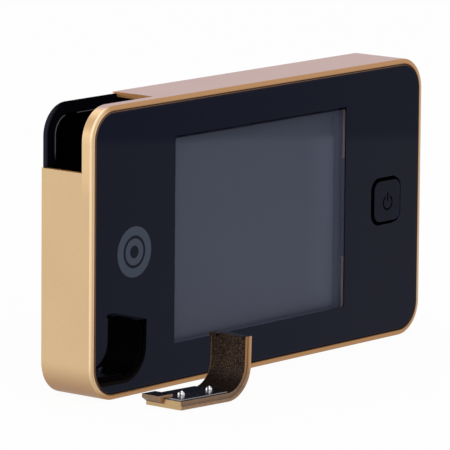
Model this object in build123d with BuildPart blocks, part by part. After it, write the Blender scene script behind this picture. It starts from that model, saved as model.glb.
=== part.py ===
from build123d import *
import os

# Indoor monitor of a digital door viewer, with its battery corner cap taken off.
#
# A gilt cast casing carries a black glass front with a screen window and one power key.
# A black back cover closes it and holds the moulded chamber for two AAA cells.
# The corner of the casing is a loose cap that closes the chamber and bridges the cells.
# The cap lies in front of the monitor, on the same surface.
#
# Frame: the origin is the middle of the underside, +X to the right as seen from the front,
# +Y to the back, towards the door, and +Z up. Depths are counted back from the glass face.

os.makedirs("parts", exist_ok=True)

# Body
body_width = 124.0
body_height = 69.0
body_depth = 15.5
corner_radius = 8.0
casing_wall = 1.2
edge_round = 0.3
fit_gap = 0.1
part_gap = 0.2
thread_gap = 0.02
near = 0.02
overrun = 1.0

# Casing rim round the glass
rim_edge_round = 0.15
rim_slope_width = 0.8
rim_slope_depth = 0.32
rim_facet_width = 0.45
rim_facet_depth = 0.1
rim_depth = 3.0
ledge_inset = 3.4

# Glass front
glass_inset = 1.45
glass_thickness = 1.2
glass_edge_round = 0.15
mask_thickness = 0.15
print_gap = 0.02
tape_thickness = 0.15
tape_margin = 0.3
window_from_chamber = 4.9
window_from_right = 28.9
window_from_top = 10.35
window_from_bottom = 9.82
window_round = 0.3

# Power key
key_from_right = 14.1
key_opening = 11.45
key_opening_round = 2.9
key_width = 10.55
key_round = 2.5
key_proud = 0.36
key_edge_round = 0.45
key_top = 1.1
key_wall = 1.3
key_flange_width = 13.4
key_flange_thickness = 0.8
key_post_radius = 1.9
key_guide_gap = 0.25
key_guide_wall = 0.8

# Screen
active_margin = 0.9
lcd_depth = 2.5
lcd_front_glass = 0.7
lcd_rear_glass = 0.7
lcd_border = 2.2
lcd_driver_ledge = 2.2
tray_gap = 0.1
tray_wall = 0.5
tray_floor = 1.8
tray_lip = 0.5
gasket_gap = 0.3
gasket_width = 1.4
tab_width = 0.5
tab_length = 11.6
tab_from_end = 0.4

# Inner chassis
chassis_thickness = 1.0
pocket_gap = 0.15
pocket_wall = 0.7
ear_radius = 2.3
ear_inset = 4.6
ear_spread_share = 0.344
post_radius = 1.8
standoff_radius = 2.0
standoff_inset = 3.6

# Main board
board_gap = 2.1
board_thickness = 1.2
board_from_right = 8.0
board_from_chamber = 2.5
board_inset = 7.8
board_round = 1.0

# Screen ribbon
ribbon_width = 19.0
ribbon_thickness = 0.2
ribbon_lap = 1.6
ribbon_bend = 0.9
ribbon_clear = 2.4
ribbon_slot_width = 1.8
ribbon_slot_gap = 1.2
ribbon_tail_drop = 1.1
ribbon_plug = 2.0

# Sockets, chips and coils
display_socket_length = 6.0
display_socket_height = 2.2
display_socket_margin = 2.0
socket_slot_height = 0.5
camera_socket_width = 14.0
camera_socket_length = 5.0
camera_socket_height = 2.3
camera_socket_mouth = 0.6
processor_size = 12.0
processor_height = 1.2
chip_height = 1.0
coil_size = 4.2
coil_height = 1.9
processor_place_shares = (-0.3, -0.24)
chip_place_shares = [(-0.3, 0.24, 0.09, 0.2), (0.05, -0.36, 0.07, 0.09), (0.36, 0.3, 0.06, 0.1)]
coil_place_shares = [(-0.1, -0.34), (0.2, 0.34)]

# Tactile switch under the key
switch_size = 6.0
switch_height = 3.1
switch_well = 1.2
switch_gap = 0.4
plunger_radius = 1.6
plunger_height = 0.75
plunger_clearance = 0.06
plunger_root = 0.5

# Open corner and battery chamber
notch_width = 25.1
notch_height = 15.2
plate_thickness = 1.15
plate_inset = 0.5
chamber_inset = 3.4
chamber_behind_casing = 1.2
chamber_floor = 1.5
chamber_front_gap = 0.15
chamber_rear_wall = 0.3
chamber_foot_round = 0.5
cell_radius = 5.15
cell_length = 44.5
cell_pitch = 10.4
cell_from_left = 9.15
cell_from_top = 3.7
cell_seat_width = 0.5
spring_wire = 0.6
spring_radius = 2.9
spring_turns = 3
spring_seat_share = 0.35
contact_space = 4.8
contact_thickness = 0.35
contact_width = 6.4
contact_bend = 0.7
leaf_low_share = -0.25
leaf_high_share = 0.33
contact_tail_share = 0.25
tail_width = 3.0

# Back cover
skirt_inset = 1.5
skirt_wall = 1.0
skirt_height = 1.5
boss_radius = 2.3
boss_inset = 4.6
edge_boss_inset = 4.4
boss_end_depth = 12.6
collar_radius = 2.7
screw_radius = 1.0
screw_head_radius = 1.9
screw_head_height = 1.2
screw_sink = 0.3
screw_bite = 4.5
chassis_screw_bite = 2.4
board_screw_bite = 1.6
cable_opening_width = 26.0
cable_opening_height = 15.0
cable_opening_round = 2.0
hook_spacing_x = 52.0
hook_spacing_z = 30.0
hook_slot_length = 9.0
hook_slot_width = 2.6
seat_width = 68.0
seat_height = 46.0
seat_depth = 0.4
seat_round = 4.0

# Corner cap, lying in front of the monitor and leaning on its round corner
cap_wall = 2.0
cap_shell = 1.1
cap_recess = 0.3
cap_end_gap = 0.2
cap_lip_gap = 0.6
cap_side_gap = 0.325
cap_gap = 10.8
cap_from_left = 32.2
cap_tilt = 1.7
cap_edge = 0.15
cap_lip_reach = 1.2
cap_lip_height = 0.8
cap_lip_length = 2.3
cap_lip_from_front = 1.0
cap_tongue_reach = 1.6
cap_tongue_run = 3.1
cap_tongue_slope = 1.0
cap_tongue_width = 5.1
cap_tongue_height = 2.8
cap_tongue_thickness = 0.9
cap_undercut = 0.9
bridge_thickness = 0.4
bridge_margin = 0.45
rivet_head_radius = 1.05
rivet_shank_radius = 0.6
rivet_shank_depth = 1.1
rivet_from_front = 5.0
rivet_from_right = 9.4
rivet_pitch = 10.0

# Places worked out from the sizes above
middle = body_height / 2
left = -body_width / 2
right = body_width / 2
mask_depth = glass_thickness + mask_thickness
ledge_depth = mask_depth + tape_thickness
plate_depth = body_depth - plate_thickness
notch_floor = body_height - notch_height
chamber_right = left + notch_width + chamber_behind_casing
chamber_front = rim_depth + chamber_front_gap
key_x = right - key_from_right
key_z = middle
window_left = chamber_right + window_from_chamber
window_right = right - window_from_right
window_width = window_right - window_left
window_height = body_height - window_from_top - window_from_bottom
window_x = (window_left + window_right) / 2
window_z = window_from_bottom + window_height / 2
active_width = window_width - 2 * active_margin
active_height = window_height - 2 * active_margin
lcd_thickness = lcd_front_glass + lcd_rear_glass
lcd_width = active_width + 2 * lcd_border + lcd_driver_ledge
lcd_height = active_height + 2 * lcd_border
lcd_x = window_x + lcd_driver_ledge / 2
lcd_right = lcd_x + lcd_width / 2
tray_front = lcd_depth + lcd_thickness - tray_lip
tray_rear = lcd_depth + lcd_thickness + tray_floor
tray_width = lcd_width + 2 * (tray_gap + tray_wall)
tray_height = lcd_height + 2 * (tray_gap + tray_wall)
pocket_width = tray_width + 2 * pocket_gap
pocket_height = tray_height + 2 * pocket_gap
chassis_left = lcd_x - pocket_width / 2 - pocket_wall
chassis_rear = tray_rear + chassis_thickness
board_depth = chassis_rear + board_gap
board_rear = board_depth + board_thickness
board_left = chamber_right + board_from_chamber
board_right = right - board_from_right
board_width = board_right - board_left
board_height = body_height - 2 * board_inset
board_x = (board_left + board_right) / 2
ribbon_x = lcd_right + ribbon_clear
ribbon_front = lcd_depth + lcd_front_glass - ribbon_thickness / 2
ribbon_rear = board_rear + ribbon_tail_drop
socket_right = ribbon_x - ribbon_bend - display_socket_margin
bore_radius = cell_radius + fit_gap
cell_depth = plate_depth - chamber_rear_wall - bore_radius
cell_y = cell_depth - body_depth / 2
cell_x = left + cell_from_left
cell_top = body_height - cell_from_top
cell_bottom = cell_top - cell_length
floor_top = cell_bottom - contact_space
floor_bottom = floor_top - chamber_floor
contact_tail = contact_tail_share * (floor_bottom - casing_wall)
switch_front = board_depth - switch_height
plunger_front = switch_front - plunger_height
flange_front = mask_depth + part_gap
flange_rear = flange_front + key_flange_thickness
screw_hole = screw_radius + thread_gap
screw_pass = screw_radius + fit_gap
screw_seat = body_depth - screw_sink - screw_head_height
cap_length = notch_width - cap_end_gap
cap_height = notch_height - cap_lip_gap
cap_depth = plate_depth - rim_depth - 2 * cap_side_gap
cap_rear_y = -body_depth / 2 - cap_gap
cap_front_y = cap_rear_y - cap_depth
cap_end = corner_radius - cap_length
cap_rise = cap_height - corner_radius
cap_inner = corner_radius - cap_wall
bridge_top = bridge_thickness - cap_inner
rivet_y = cap_front_y + rivet_from_front
rivet_right = corner_radius - rivet_from_right
rivet_places = [(rivet_right - rivet_pitch, rivet_y), (rivet_right, rivet_y)]
cap_level = Plane(Location((left + cap_from_left - corner_radius, 0, corner_radius), (0, cap_tilt, 0)))
cap_side = Plane(origin=cap_level.origin, x_dir=cap_level.x_dir, z_dir=(0, -1, 0))


def layer(depth):
    """The plane parallel to the glass at a depth behind its face, facing forward."""
    return Plane.XZ.offset(body_depth / 2 - depth)


def level(height):
    """The plane parallel to the surface that the monitor stands on."""
    return Plane.XY.offset(height)


def outline(inset, mode=Mode.ADD):
    """The monitor's rounded outline, drawn in by an inset, in the current sketch."""
    width = body_width - 2 * inset
    height = body_height - 2 * inset
    with Locations((0, middle)):
        RectangleRounded(width, height, corner_radius - inset, mode=mode)


def span(x_low, x_high, z_low, z_high, mode=Mode.ADD):
    """A rectangle from corner to corner in the current sketch."""
    with Locations(((x_low + x_high) / 2, (z_low + z_high) / 2)):
        Rectangle(x_high - x_low, z_high - z_low, mode=mode)


def plate(inset, front, rear, mode=Mode.ADD):
    """The monitor's outline, drawn in, between two depths of the current part."""
    with BuildSketch(layer(rear)) as drawn:
        outline(inset)
    extrude(drawn.sketch, amount=rear - front, mode=mode)


def block(x_low, x_high, z_low, z_high, front, rear, mode=Mode.ADD):
    """A square-cornered block between two depths of the current part."""
    with BuildSketch(layer(rear)) as drawn:
        span(x_low, x_high, z_low, z_high)
    extrude(drawn.sketch, amount=rear - front, mode=mode)


def pad(x, z, width, height, radius, front, rear, mode=Mode.ADD):
    """A block with rounded corners between two depths of the current part."""
    with BuildSketch(layer(rear)) as drawn:
        with Locations((x, z)):
            RectangleRounded(width, height, radius)
    extrude(drawn.sketch, amount=rear - front, mode=mode)


def posts(places, radius, front, rear, mode=Mode.ADD):
    """Round posts, or holes, between two depths of the current part."""
    with BuildSketch(layer(rear)) as drawn:
        with Locations(*places):
            Circle(radius)
    extrude(drawn.sketch, amount=rear - front, mode=mode)


def edges_at(part, depth):
    """The edges of a part that lie at one depth."""
    y = depth - body_depth / 2
    return part.edges().filter_by_position(Axis.Y, y - near, y + near)


# Places of the fasteners, each as (x, z)
corner_boss_places = [(right - boss_inset, z) for z in (boss_inset, body_height - boss_inset)]
edge_boss_x = chamber_right + 2 * boss_radius
edge_boss_places = [(edge_boss_x, z) for z in (edge_boss_inset, body_height - edge_boss_inset)]
boss_places = [*corner_boss_places, *edge_boss_places]
ear_spread = ear_spread_share * board_width
ear_x_places = [board_x - ear_spread, board_x + ear_spread]
ear_places = [(x, z) for x in ear_x_places for z in (ear_inset, body_height - ear_inset)]
ear_webs = [(x, ear_inset, tray_rear) for x in ear_x_places]
standoff_x = board_width / 2 - standoff_inset
standoff_z = board_height / 2 - standoff_inset
standoff_places = [(board_x + a * standoff_x, middle + b * standoff_z) for a in (-1, 1) for b in (-1, 1)]


# Casing: a cast band with a rim and a ledge for the glass, open at the corner for the cap
with BuildPart() as front_frame:
    plate(0, 0, body_depth)
    fillet(edges_at(front_frame, body_depth), edge_round)
    front_face = front_frame.faces().sort_by(Axis.Y)[0]
    chamfer(front_face.edges(), rim_slope_width, rim_slope_depth, reference=front_face)
    fillet(edges_at(front_frame, rim_slope_depth), rim_edge_round)
    plate(glass_inset - fit_gap, 0, ledge_depth, Mode.SUBTRACT)
    rim_face = front_frame.faces().sort_by(Axis.Y)[0]
    rim_inner_edges = rim_face.inner_wires()[0].edges()
    chamfer(rim_inner_edges, rim_facet_width, rim_facet_depth, reference=rim_face)
    plate(ledge_inset, 0, rim_depth, Mode.SUBTRACT)
    plate(casing_wall, rim_depth, body_depth, Mode.SUBTRACT)
    plate(plate_inset - fit_gap, plate_depth - fit_gap, body_depth, Mode.SUBTRACT)
    posts(boss_places, boss_radius, rim_depth, boss_end_depth)
    posts(ear_places, post_radius, rim_depth, tray_rear)
    for x, inset, web_rear in [(edge_boss_x, edge_boss_inset, boss_end_depth), *ear_webs]:
        for z_low, z_high in ((casing_wall, inset), (body_height - inset, body_height - casing_wall)):
            block(x - screw_radius, x + screw_radius, z_low, z_high, rim_depth, web_rear)
    posts(boss_places, screw_hole, boss_end_depth - screw_bite, boss_end_depth, Mode.SUBTRACT)
    posts(ear_places, screw_hole, tray_rear - chassis_screw_bite, tray_rear, Mode.SUBTRACT)
    block(
        left - overrun, left + notch_width, notch_floor, body_height + overrun,
        rim_depth, body_depth + overrun, Mode.SUBTRACT,
    )
front_frame.part.label = "front_frame"
export_step(front_frame.part, "parts/front_frame.step")


# Glass front, with the power key's opening
with BuildPart() as front_glass:
    plate(glass_inset, 0, glass_thickness)
    pad(key_x, key_z, key_opening, key_opening, key_opening_round, 0, glass_thickness, Mode.SUBTRACT)
    chamfer(edges_at(front_glass, 0), glass_edge_round)
front_glass.part.label = "front_glass"
export_step(front_glass.part, "parts/front_glass.step")


# Black print behind the glass, clear at the window and at the key
with BuildPart() as window_mask:
    plate(glass_inset, glass_thickness + print_gap, mask_depth)
    pad(
        window_x, window_z, window_width, window_height, window_round,
        glass_thickness, mask_depth, Mode.SUBTRACT,
    )
    pad(key_x, key_z, key_opening, key_opening, key_opening_round, glass_thickness, mask_depth, Mode.SUBTRACT)
window_mask.part.label = "window_mask"
export_step(window_mask.part, "parts/window_mask.step")


# Adhesive frame that holds the glass on the casing's ledge
with BuildPart() as glass_tape:
    plate(glass_inset + tape_margin, mask_depth, ledge_depth)
    plate(ledge_inset, mask_depth, ledge_depth, Mode.SUBTRACT)
glass_tape.part.label = "glass_tape"
export_step(glass_tape.part, "parts/glass_tape.step")


# Screen: two glass sheets, the rear one longer to take the driver and the ribbon
with BuildPart() as lcd_panel:
    pad(
        lcd_x, window_z, lcd_width, lcd_height, window_round,
        lcd_depth + lcd_front_glass, lcd_depth + lcd_thickness,
    )
    pad(
        window_x, window_z, lcd_width - lcd_driver_ledge, lcd_height, window_round,
        lcd_depth, lcd_depth + lcd_front_glass,
    )
lcd_panel.part.label = "lcd_panel"
export_step(lcd_panel.part, "parts/lcd_panel.step")


# Backlight: a white tray with a lip round the screen's rear glass
with BuildPart() as backlight_tray:
    pad(lcd_x, window_z, tray_width, tray_height, tray_wall, tray_front, tray_rear)
    pad(
        lcd_x, window_z, lcd_width + 2 * tray_gap, lcd_height + 2 * tray_gap, window_round,
        tray_front, tray_rear - tray_floor, Mode.SUBTRACT,
    )
backlight_tray.part.label = "backlight_tray"
export_step(backlight_tray.part, "parts/backlight_tray.step")


# Foam gasket between the print and the screen, round the window
gasket_inner_width = window_width + 2 * gasket_gap
gasket_inner_height = window_height + 2 * gasket_gap
with BuildPart() as lcd_gasket:
    pad(
        window_x, window_z,
        gasket_inner_width + 2 * gasket_width, gasket_inner_height + 2 * gasket_width,
        gasket_width, mask_depth, lcd_depth,
    )
    pad(
        window_x, window_z, gasket_inner_width, gasket_inner_height, window_round,
        mask_depth, lcd_depth, Mode.SUBTRACT,
    )
lcd_gasket.part.label = "lcd_gasket"
export_step(lcd_gasket.part, "parts/lcd_gasket.step")


# Two tape tabs at the right end of the window, that hold the gasket on the screen
tab_right = window_x + gasket_inner_width / 2
tab_low = window_z - window_height / 2 + tab_from_end
tab_high = window_z + window_height / 2 - tab_from_end
with BuildPart() as gasket_tabs:
    block(
        tab_right - tab_width, tab_right, tab_low, tab_low + tab_length,
        lcd_depth - ribbon_thickness, lcd_depth,
    )
    block(
        tab_right - tab_width, tab_right, tab_high - tab_length, tab_high,
        lcd_depth - ribbon_thickness, lcd_depth,
    )
gasket_tabs.part.label = "gasket_tabs"
export_step(gasket_tabs.part, "parts/gasket_tabs.step")


# Inner chassis: a plate with a pocket for the tray, ears, standoffs and the key's guide
guide_inner = key_flange_width + 2 * key_guide_gap
guide_outer = guide_inner + 2 * key_guide_wall
guide_front = mask_depth + part_gap
ribbon_opening = ribbon_width + 2 * ribbon_slot_gap
with BuildPart() as inner_chassis:
    with BuildSketch(layer(chassis_rear)):
        span(
            chassis_left, board_right,
            window_z - pocket_height / 2 - pocket_wall, window_z + pocket_height / 2 + pocket_wall,
        )
        for x in ear_x_places:
            span(x - ear_radius, x + ear_radius, ear_inset, body_height - ear_inset)
        with Locations(*ear_places):
            Circle(ear_radius)
        with Locations((key_x, key_z)):
            RectangleRounded(guide_outer, guide_outer, key_opening_round)
    extrude(amount=chassis_thickness)
    pad(
        lcd_x, window_z, pocket_width + 2 * pocket_wall, pocket_height + 2 * pocket_wall,
        pocket_wall, tray_front, tray_rear,
    )
    pad(lcd_x, window_z, pocket_width, pocket_height, window_round, tray_front, tray_rear, Mode.SUBTRACT)
    pad(key_x, key_z, guide_outer, guide_outer, key_opening_round, guide_front, tray_rear)
    pad(key_x, key_z, guide_inner, guide_inner, key_round, guide_front, tray_rear, Mode.SUBTRACT)
    posts(standoff_places, standoff_radius, chassis_rear, board_depth)
    posts(standoff_places, screw_hole, tray_rear, board_depth, Mode.SUBTRACT)
    posts(ear_places, screw_pass, tray_rear, chassis_rear, Mode.SUBTRACT)
    pad(
        key_x, key_z, switch_size + 2 * switch_gap, switch_size + 2 * switch_gap, switch_gap,
        tray_rear, chassis_rear, Mode.SUBTRACT,
    )
    block(
        ribbon_x - ribbon_slot_width / 2, ribbon_x + ribbon_slot_width / 2,
        middle - ribbon_opening / 2, middle + ribbon_opening / 2, tray_rear, chassis_rear, Mode.SUBTRACT,
    )
inner_chassis.part.label = "inner_chassis"
export_step(inner_chassis.part, "parts/inner_chassis.step")


# Main board, with the ribbon's slot and its four screw holes
with BuildPart() as main_board:
    pad(board_x, middle, board_width, board_height, board_round, board_depth, board_rear)
    posts(standoff_places, screw_pass, board_depth, board_rear, Mode.SUBTRACT)
    block(
        ribbon_x - ribbon_slot_width / 2, ribbon_x + ribbon_slot_width / 2,
        middle - ribbon_opening / 2, middle + ribbon_opening / 2, board_depth, board_rear, Mode.SUBTRACT,
    )
main_board.part.label = "main_board"
export_step(main_board.part, "parts/main_board.step")


# Processor on the back of the board
with BuildPart() as processor_chip:
    share_x, share_z = processor_place_shares
    x = board_x + share_x * board_width
    z = middle + share_z * board_height
    pad(x, z, processor_size, processor_size, edge_round, board_rear, board_rear + processor_height)
processor_chip.part.label = "processor_chip"
export_step(processor_chip.part, "parts/processor_chip.step")


# Memory and power chips
with BuildPart() as board_chips:
    for share_x, share_z, width_share, height_share in chip_place_shares:
        x = board_x + share_x * board_width
        z = middle + share_z * board_height
        pad(
            x, z, width_share * board_width, height_share * board_height, edge_round,
            board_rear, board_rear + chip_height,
        )
board_chips.part.label = "board_chips"
export_step(board_chips.part, "parts/board_chips.step")


# Power coils
with BuildPart() as power_coils:
    for share_x, share_z in coil_place_shares:
        x = board_x + share_x * board_width
        z = middle + share_z * board_height
        pad(x, z, coil_size, coil_size, edge_round, board_rear, board_rear + coil_height)
power_coils.part.label = "power_coils"
export_step(power_coils.part, "parts/power_coils.step")


# Socket that takes the screen's ribbon
socket_low = middle - ribbon_width / 2 - display_socket_margin
socket_high = middle + ribbon_width / 2 + display_socket_margin
with BuildPart() as display_socket:
    block(
        socket_right - display_socket_length, socket_right, socket_low, socket_high,
        board_rear, board_rear + display_socket_height,
    )
    block(
        socket_right - ribbon_plug - fit_gap, socket_right,
        middle - ribbon_opening / 2, middle + ribbon_opening / 2,
        ribbon_rear - socket_slot_height / 2, ribbon_rear + socket_slot_height / 2, Mode.SUBTRACT,
    )
display_socket.part.label = "display_socket"
export_step(display_socket.part, "parts/display_socket.step")


# Screen ribbon: off the driver ledge, round the chassis, through the board, into its socket
with BuildPart() as lcd_ribbon:
    with BuildSketch(level(middle - ribbon_width / 2)):
        front_y = ribbon_front - body_depth / 2
        rear_y = ribbon_rear - body_depth / 2
        with BuildLine():
            FilletPolyline(
                (lcd_right - ribbon_lap, front_y),
                (ribbon_x, front_y),
                (ribbon_x, rear_y),
                (socket_right - ribbon_plug, rear_y),
                radius=ribbon_bend,
            )
        trace(line_width=ribbon_thickness)
    extrude(amount=ribbon_width)
lcd_ribbon.part.label = "lcd_ribbon"
export_step(lcd_ribbon.part, "parts/lcd_ribbon.step")


# Socket for the door camera's flat cable, behind the opening in the back cover
with BuildPart() as camera_socket:
    pad(
        0, middle, camera_socket_width, camera_socket_length, edge_round,
        board_rear, board_rear + camera_socket_height,
    )
    block(
        -camera_socket_width / 2 + overrun, camera_socket_width / 2 - overrun,
        middle - camera_socket_length / 2, middle,
        board_rear + camera_socket_mouth, board_rear + 2 * camera_socket_mouth, Mode.SUBTRACT,
    )
camera_socket.part.label = "camera_socket"
export_step(camera_socket.part, "parts/camera_socket.step")


# Tactile switch, on the front of the board under the key
with BuildPart() as tact_switch:
    pad(key_x, key_z, switch_size, switch_size, edge_round, switch_front, board_depth)
    posts(
        [(key_x, key_z)], plunger_radius + plunger_clearance,
        switch_front, switch_front + switch_well, Mode.SUBTRACT,
    )
tact_switch.part.label = "tact_switch"
export_step(tact_switch.part, "parts/tact_switch.step")


# Plunger of the switch, pushed by the key's post
with BuildPart() as switch_plunger:
    posts([(key_x, key_z)], plunger_radius, plunger_front, switch_front + plunger_root)
switch_plunger.part.label = "switch_plunger"
export_step(switch_plunger.part, "parts/switch_plunger.step")


# Power key: a hollow cap through the glass, with a flange behind it and a post to the switch
with BuildPart() as power_button:
    pad(key_x, key_z, key_width, key_width, key_round, -key_proud, flange_front)
    fillet(edges_at(power_button, -key_proud), key_edge_round)
    pad(key_x, key_z, key_flange_width, key_flange_width, key_opening_round, flange_front, flange_rear)
    pad(
        key_x, key_z, key_width - 2 * key_wall, key_width - 2 * key_wall, key_round - key_wall,
        key_top - key_proud, flange_rear, Mode.SUBTRACT,
    )
    posts([(key_x, key_z)], key_post_radius, key_top - key_proud, plunger_front)
power_button.part.label = "power_button"
export_step(power_button.part, "parts/power_button.step")


# Back cover: rear plate, locating skirt, screw collars and the moulded battery chamber
def is_chamber_foot(edge):
    """Whether an edge runs along the chamber's outer foot on the plate."""
    at = edge.center()
    if edge.geom_type == GeomType.CIRCLE:
        return abs(edge.radius - corner_radius + chamber_inset) < near
    on_side = abs(at.X - left - chamber_inset) < near
    on_top = abs(at.Z - body_height + chamber_inset) < near
    return on_side or on_top


with BuildPart() as back_cover:
    plate(plate_inset, plate_depth, body_depth)
    fillet(edges_at(back_cover, body_depth), edge_round)
    with BuildSketch(layer(plate_depth)):
        outline(chamber_inset)
        span(left, chamber_right, floor_bottom, body_height, Mode.INTERSECT)
    extrude(amount=plate_depth - chamber_front)
    fillet(edges_at(back_cover, plate_depth).filter_by(is_chamber_foot), chamber_foot_round)
    fillet(edges_at(back_cover, chamber_front), edge_round)
    with BuildSketch(layer(plate_depth)):
        outline(skirt_inset)
        outline(skirt_inset + skirt_wall, Mode.SUBTRACT)
        span(left, left + notch_width + overrun, notch_floor - overrun, body_height, Mode.SUBTRACT)
    extrude(amount=skirt_height)
    with BuildSketch(layer(plate_depth)):
        with Locations(*boss_places):
            Circle(collar_radius)
        outline(casing_wall + part_gap, Mode.INTERSECT)
    extrude(amount=plate_depth - boss_end_depth)
    posts(boss_places, screw_pass, boss_end_depth, body_depth, Mode.SUBTRACT)
    posts(boss_places, screw_head_radius + fit_gap, screw_seat, body_depth, Mode.SUBTRACT)
    with BuildSketch(level(body_height)):
        with Locations((cell_x, cell_y), (cell_x + cell_pitch, cell_y)):
            Circle(bore_radius)
    extrude(amount=cell_bottom - body_height, mode=Mode.SUBTRACT)
    with BuildSketch(level(cell_bottom)):
        with Locations((cell_x, cell_y), (cell_x + cell_pitch, cell_y)):
            Circle(bore_radius - cell_seat_width)
    extrude(amount=-contact_space, mode=Mode.SUBTRACT)
    with BuildSketch(level(floor_top)):
        with Locations((cell_x, cell_y), (cell_x + cell_pitch, cell_y)):
            Rectangle(tail_width + 2 * part_gap, contact_thickness + 2 * part_gap)
    extrude(amount=-chamber_floor, mode=Mode.SUBTRACT)
    pad(0, middle, seat_width, seat_height, seat_round, body_depth - seat_depth, body_depth, Mode.SUBTRACT)
    pad(
        0, middle, cable_opening_width, cable_opening_height, cable_opening_round,
        plate_depth, body_depth, Mode.SUBTRACT,
    )
    with BuildSketch(layer(body_depth)):
        with Locations((0, middle)):
            with GridLocations(hook_spacing_x, hook_spacing_z, 2, 2):
                SlotOverall(hook_slot_length, hook_slot_width)
    extrude(amount=plate_thickness, mode=Mode.SUBTRACT)
back_cover.part.label = "back_cover"
export_step(back_cover.part, "parts/back_cover.step")


def contact_foot(x):
    """A contact's flat foot on the chamber floor and its tail through the slot."""
    with BuildSketch(level(floor_top)) as foot:
        with Locations((x, cell_y)):
            Rectangle(contact_width, contact_width)
    extrude(foot.sketch, amount=contact_thickness)
    with BuildSketch(level(floor_top)) as tail:
        with Locations((x, cell_y)):
            Rectangle(tail_width, contact_thickness)
    extrude(tail.sketch, amount=-chamber_floor - contact_tail)


# Coil spring contact under the right cell's flat end
coil_low = floor_top + contact_thickness + spring_seat_share * spring_wire
coil_high = cell_bottom - spring_wire / 2 - fit_gap
with BuildPart() as contact_spring:
    contact_foot(cell_x + cell_pitch)
    with BuildLine() as coil_line:
        Helix(
            (coil_high - coil_low) / spring_turns, coil_high - coil_low, spring_radius,
            center=(cell_x + cell_pitch, cell_y, coil_low),
        )
    with BuildSketch(Plane(coil_line.line @ 0, z_dir=coil_line.line % 0)):
        Circle(spring_wire / 2)
    sweep(path=coil_line.line, is_frenet=True)
contact_spring.part.label = "contact_spring"
export_step(contact_spring.part, "parts/contact_spring.step")


# Leaf contact under the left cell's nub
leaf_low = floor_top + contact_thickness / 2
leaf_high = cell_bottom - contact_thickness / 2 - fit_gap
with BuildPart() as contact_leaf:
    contact_foot(cell_x)
    with BuildSketch(Plane.XZ.offset(-cell_y - tail_width / 2)):
        with BuildLine():
            FilletPolyline(
                (cell_x + leaf_low_share * contact_width, leaf_low),
                (cell_x + contact_width / 2, leaf_low),
                (cell_x + leaf_low_share * contact_width, leaf_high),
                (cell_x + leaf_high_share * contact_width, leaf_high),
                radius=contact_bend,
            )
        trace(line_width=contact_thickness)
    extrude(amount=tail_width)
contact_leaf.part.label = "contact_leaf"
export_step(contact_leaf.part, "parts/contact_leaf.step")


def screws(places, seat, head_rear, tip):
    """Pan-head screws from behind: a head on its seat and a shank to its tip."""
    posts(places, screw_head_radius, seat, head_rear)
    posts(places, screw_radius, tip, seat)


# Screws through the back cover into the casing's bosses
with BuildPart() as housing_screws:
    screws(boss_places, screw_seat, screw_seat + screw_head_height, boss_end_depth - screw_bite)
    fillet(edges_at(housing_screws, screw_seat + screw_head_height), edge_round)
housing_screws.part.label = "housing_screws"
export_step(housing_screws.part, "parts/housing_screws.step")


# Screws through the chassis ears into the casing's posts
with BuildPart() as chassis_screws:
    screws(ear_places, chassis_rear, chassis_rear + screw_head_height, tray_rear - chassis_screw_bite)
    fillet(edges_at(chassis_screws, chassis_rear + screw_head_height), edge_round)
chassis_screws.part.label = "chassis_screws"
export_step(chassis_screws.part, "parts/chassis_screws.step")


# Screws through the main board into the chassis standoffs
with BuildPart() as board_screws:
    screws(standoff_places, board_rear, board_rear + screw_head_height, board_depth - board_screw_bite)
    fillet(edges_at(board_screws, board_rear + screw_head_height), edge_round)
board_screws.part.label = "board_screws"
export_step(board_screws.part, "parts/board_screws.step")


def angle_section(wall):
    """The cap's angle round the axis of its corner, in the current sketch."""
    inner = corner_radius - wall
    with BuildLine() as drawn:
        Polyline((0, -inner), (cap_end, -inner), (cap_end, -corner_radius), (0, -corner_radius))
        CenterArc((0, 0), corner_radius, -90, 90)
        Polyline((corner_radius, 0), (corner_radius, cap_rise), (inner, cap_rise), (inner, 0))
        CenterArc((0, 0), inner, 0, -90)
    make_face(drawn.edges())


# Corner cap: an outer shell with a thicker inside set back from its front edge, lying inside up
with BuildPart() as corner_cap:
    with BuildSketch(cap_side.offset(-cap_rear_y)):
        angle_section(cap_shell)
    extrude(amount=cap_depth)
    chamfer(corner_cap.edges().filter_by_position(Axis.Y, cap_front_y - near, cap_front_y + near), cap_edge)
    with BuildSketch(cap_side.offset(-cap_rear_y)):
        angle_section(cap_wall)
    extrude(amount=cap_depth - cap_recess)
    with BuildSketch(cap_side.offset(-cap_rear_y)):
        with BuildLine():
            Polyline(
                (cap_end + cap_tongue_run + cap_tongue_slope, -cap_inner),
                (cap_end + cap_tongue_run, cap_tongue_height - corner_radius),
                (cap_end - cap_tongue_reach, cap_tongue_height - corner_radius),
                (cap_end - cap_tongue_reach, cap_tongue_height - cap_tongue_thickness - corner_radius),
                (cap_end, cap_undercut - corner_radius),
                (cap_end + cap_tongue_run, cap_undercut - corner_radius),
                (cap_end + cap_tongue_run + cap_tongue_slope, -cap_inner),
            )
        make_face()
    extrude(amount=cap_tongue_width)
    for lip_rear_y in (cap_rear_y, cap_front_y + cap_lip_from_front + cap_lip_length):
        with BuildSketch(cap_side.offset(-lip_rear_y)):
            span(cap_inner - cap_lip_reach, corner_radius - cap_shell, cap_rise - cap_lip_height, cap_rise)
        extrude(amount=cap_lip_length)
    with BuildSketch(cap_level.offset(-cap_inner)):
        with Locations(*rivet_places):
            Circle(rivet_shank_radius + thread_gap)
    extrude(amount=-rivet_shank_depth, mode=Mode.SUBTRACT)
corner_cap.part.label = "corner_cap"
export_step(corner_cap.part, "parts/corner_cap.step")


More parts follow.
